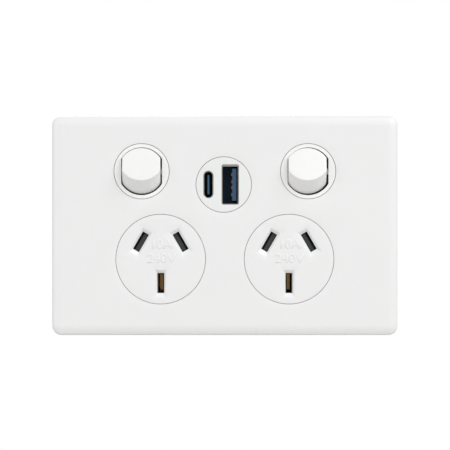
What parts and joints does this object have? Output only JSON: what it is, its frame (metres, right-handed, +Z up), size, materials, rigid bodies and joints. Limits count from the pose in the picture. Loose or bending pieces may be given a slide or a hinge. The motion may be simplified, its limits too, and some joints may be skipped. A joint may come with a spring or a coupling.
{
  "type": "usb wall socket",
  "caption": "Double switched wall socket with two flat-pin outlets, two rocker switches and a round USB module in a white cover plate.",
  "frame": {"origin": "centre of the cover plate on the wall's surface, midway between the two wall screws", "axes": "+X to the right, +Z up, +Y into the wall; the plate faces -Y"},
  "size_m": [0.1196, 0.0416, 0.0758],
  "materials": {
    "gloss_white": "gloss",
    "satin_white": "satin",
    "base_white": "satin",
    "module_white": "gloss",
    "shutter_grey": "satin",
    "dark_case": "matte",
    "brass": "satin",
    "plated_steel": "satin",
    "spring_steel": "satin",
    "port_steel": "satin",
    "tongue_blue": "satin",
    "gilt": "satin",
    "board_green": "satin",
    "ferrite": "matte",
    "winding_tape": "satin",
    "can_aluminium": "satin",
    "chip_black": "matte"
  },
  "bodies": {
    "root": {"cover_plate": "gloss_white", "mounting_frame": "satin_white", "rear_housing": "base_white", "case_screws": "plated_steel", "active_bus": "brass", "neutral_bar": "brass", "earth_bar": "brass", "usb_face": "module_white", "usb_a_shell": "port_steel", "usb_c_shell": "port_steel", "usb_a_tongue": "tongue_blue", "usb_c_tongue": "tongue_blue", "usb_a_contacts": "gilt", "usb_c_contacts": "gilt", "usb_housing": "dark_case", "usb_board": "board_green", "usb_transformer": "ferrite", "usb_winding": "winding_tape", "usb_capacitors": "can_aluminium", "usb_controller": "chip_black", "usb_active_feed": "brass", "usb_neutral_feed": "brass", "socket_face_left": "gloss_white", "shutter_spring_left": "spring_steel", "pin_guide_left": "satin_white", "switch_collar_left": "gloss_white", "active_contact_left": "brass", "socket_face_right": "gloss_white", "shutter_spring_right": "spring_steel", "pin_guide_right": "satin_white", "switch_collar_right": "gloss_white", "active_contact_right": "brass", "active_terminal": "brass", "loop_terminal": "brass", "earth_terminal": "brass", "neutral_terminal": "brass"},
    "left_rocker": {"rocker_left": "gloss_white", "rocker_plunger_left": "satin_white", "plunger_spring_left": "spring_steel"},
    "left_contact_arm": {"contact_arm_left": "brass"},
    "left_shutter": {"shutter_left": "shutter_grey"},
    "right_rocker": {"rocker_right": "gloss_white", "rocker_plunger_right": "satin_white", "plunger_spring_right": "spring_steel"},
    "right_contact_arm": {"contact_arm_right": "brass"},
    "right_shutter": {"shutter_right": "shutter_grey"},
    "active_clamp_screw": {"active_screw": "plated_steel"},
    "loop_clamp_screw": {"loop_screw": "plated_steel"},
    "earth_clamp_screw": {"earth_screw": "plated_steel"},
    "neutral_clamp_screw": {"neutral_screw": "plated_steel"}
  },
  "joints": [
    {"name": "left_rocker_tilt", "type": "hinge", "parent": "root", "child": "left_rocker", "pos_m": [-0.0288, -0.006, 0.0188], "axis": [1, 0, 0], "range_deg": [0, 44]},
    {"name": "left_arm_rock", "type": "hinge", "parent": "root", "child": "left_contact_arm", "pos_m": [-0.0288, 0.008, 0.0188], "axis": [1, 0, 0], "range_deg": [-14, 0]},
    {"name": "right_rocker_tilt", "type": "hinge", "parent": "root", "child": "right_rocker", "pos_m": [0.0288, -0.006, 0.0188], "axis": [1, 0, 0], "range_deg": [0, 44]},
    {"name": "right_arm_rock", "type": "hinge", "parent": "root", "child": "right_contact_arm", "pos_m": [0.0288, 0.008, 0.0188], "axis": [1, 0, 0], "range_deg": [-14, 0]},
    {"name": "left_shutter_drop", "type": "slide", "parent": "root", "child": "left_shutter", "axis": [0, 0, -1], "range_m": [0, 0.0056], "stiffness_N_per_m": 60, "springref_m": -0.003, "deforming": ["shutter_spring_left"]},
    {"name": "right_shutter_drop", "type": "slide", "parent": "root", "child": "right_shutter", "axis": [0, 0, -1], "range_m": [0, 0.0056], "stiffness_N_per_m": 60, "springref_m": -0.003, "deforming": ["shutter_spring_right"]},
    {"name": "active_screw_travel", "type": "slide", "parent": "root", "child": "active_clamp_screw", "axis": [0, -1, 0], "range_m": [0, 0.0032]},
    {"name": "loop_screw_travel", "type": "slide", "parent": "root", "child": "loop_clamp_screw", "axis": [0, -1, 0], "range_m": [0, 0.0032]},
    {"name": "earth_screw_travel", "type": "slide", "parent": "root", "child": "earth_clamp_screw", "axis": [0, -1, 0], "range_m": [0, 0.0032]},
    {"name": "neutral_screw_travel", "type": "slide", "parent": "root", "child": "neutral_clamp_screw", "axis": [0, -1, 0], "range_m": [0, 0.0032]}
  ],
  "couplings": [
    {"joint": "left_arm_rock", "follows": "left_rocker_tilt", "ratio": -0.31818},
    {"joint": "right_arm_rock", "follows": "right_rocker_tilt", "ratio": -0.31818}
  ]
}
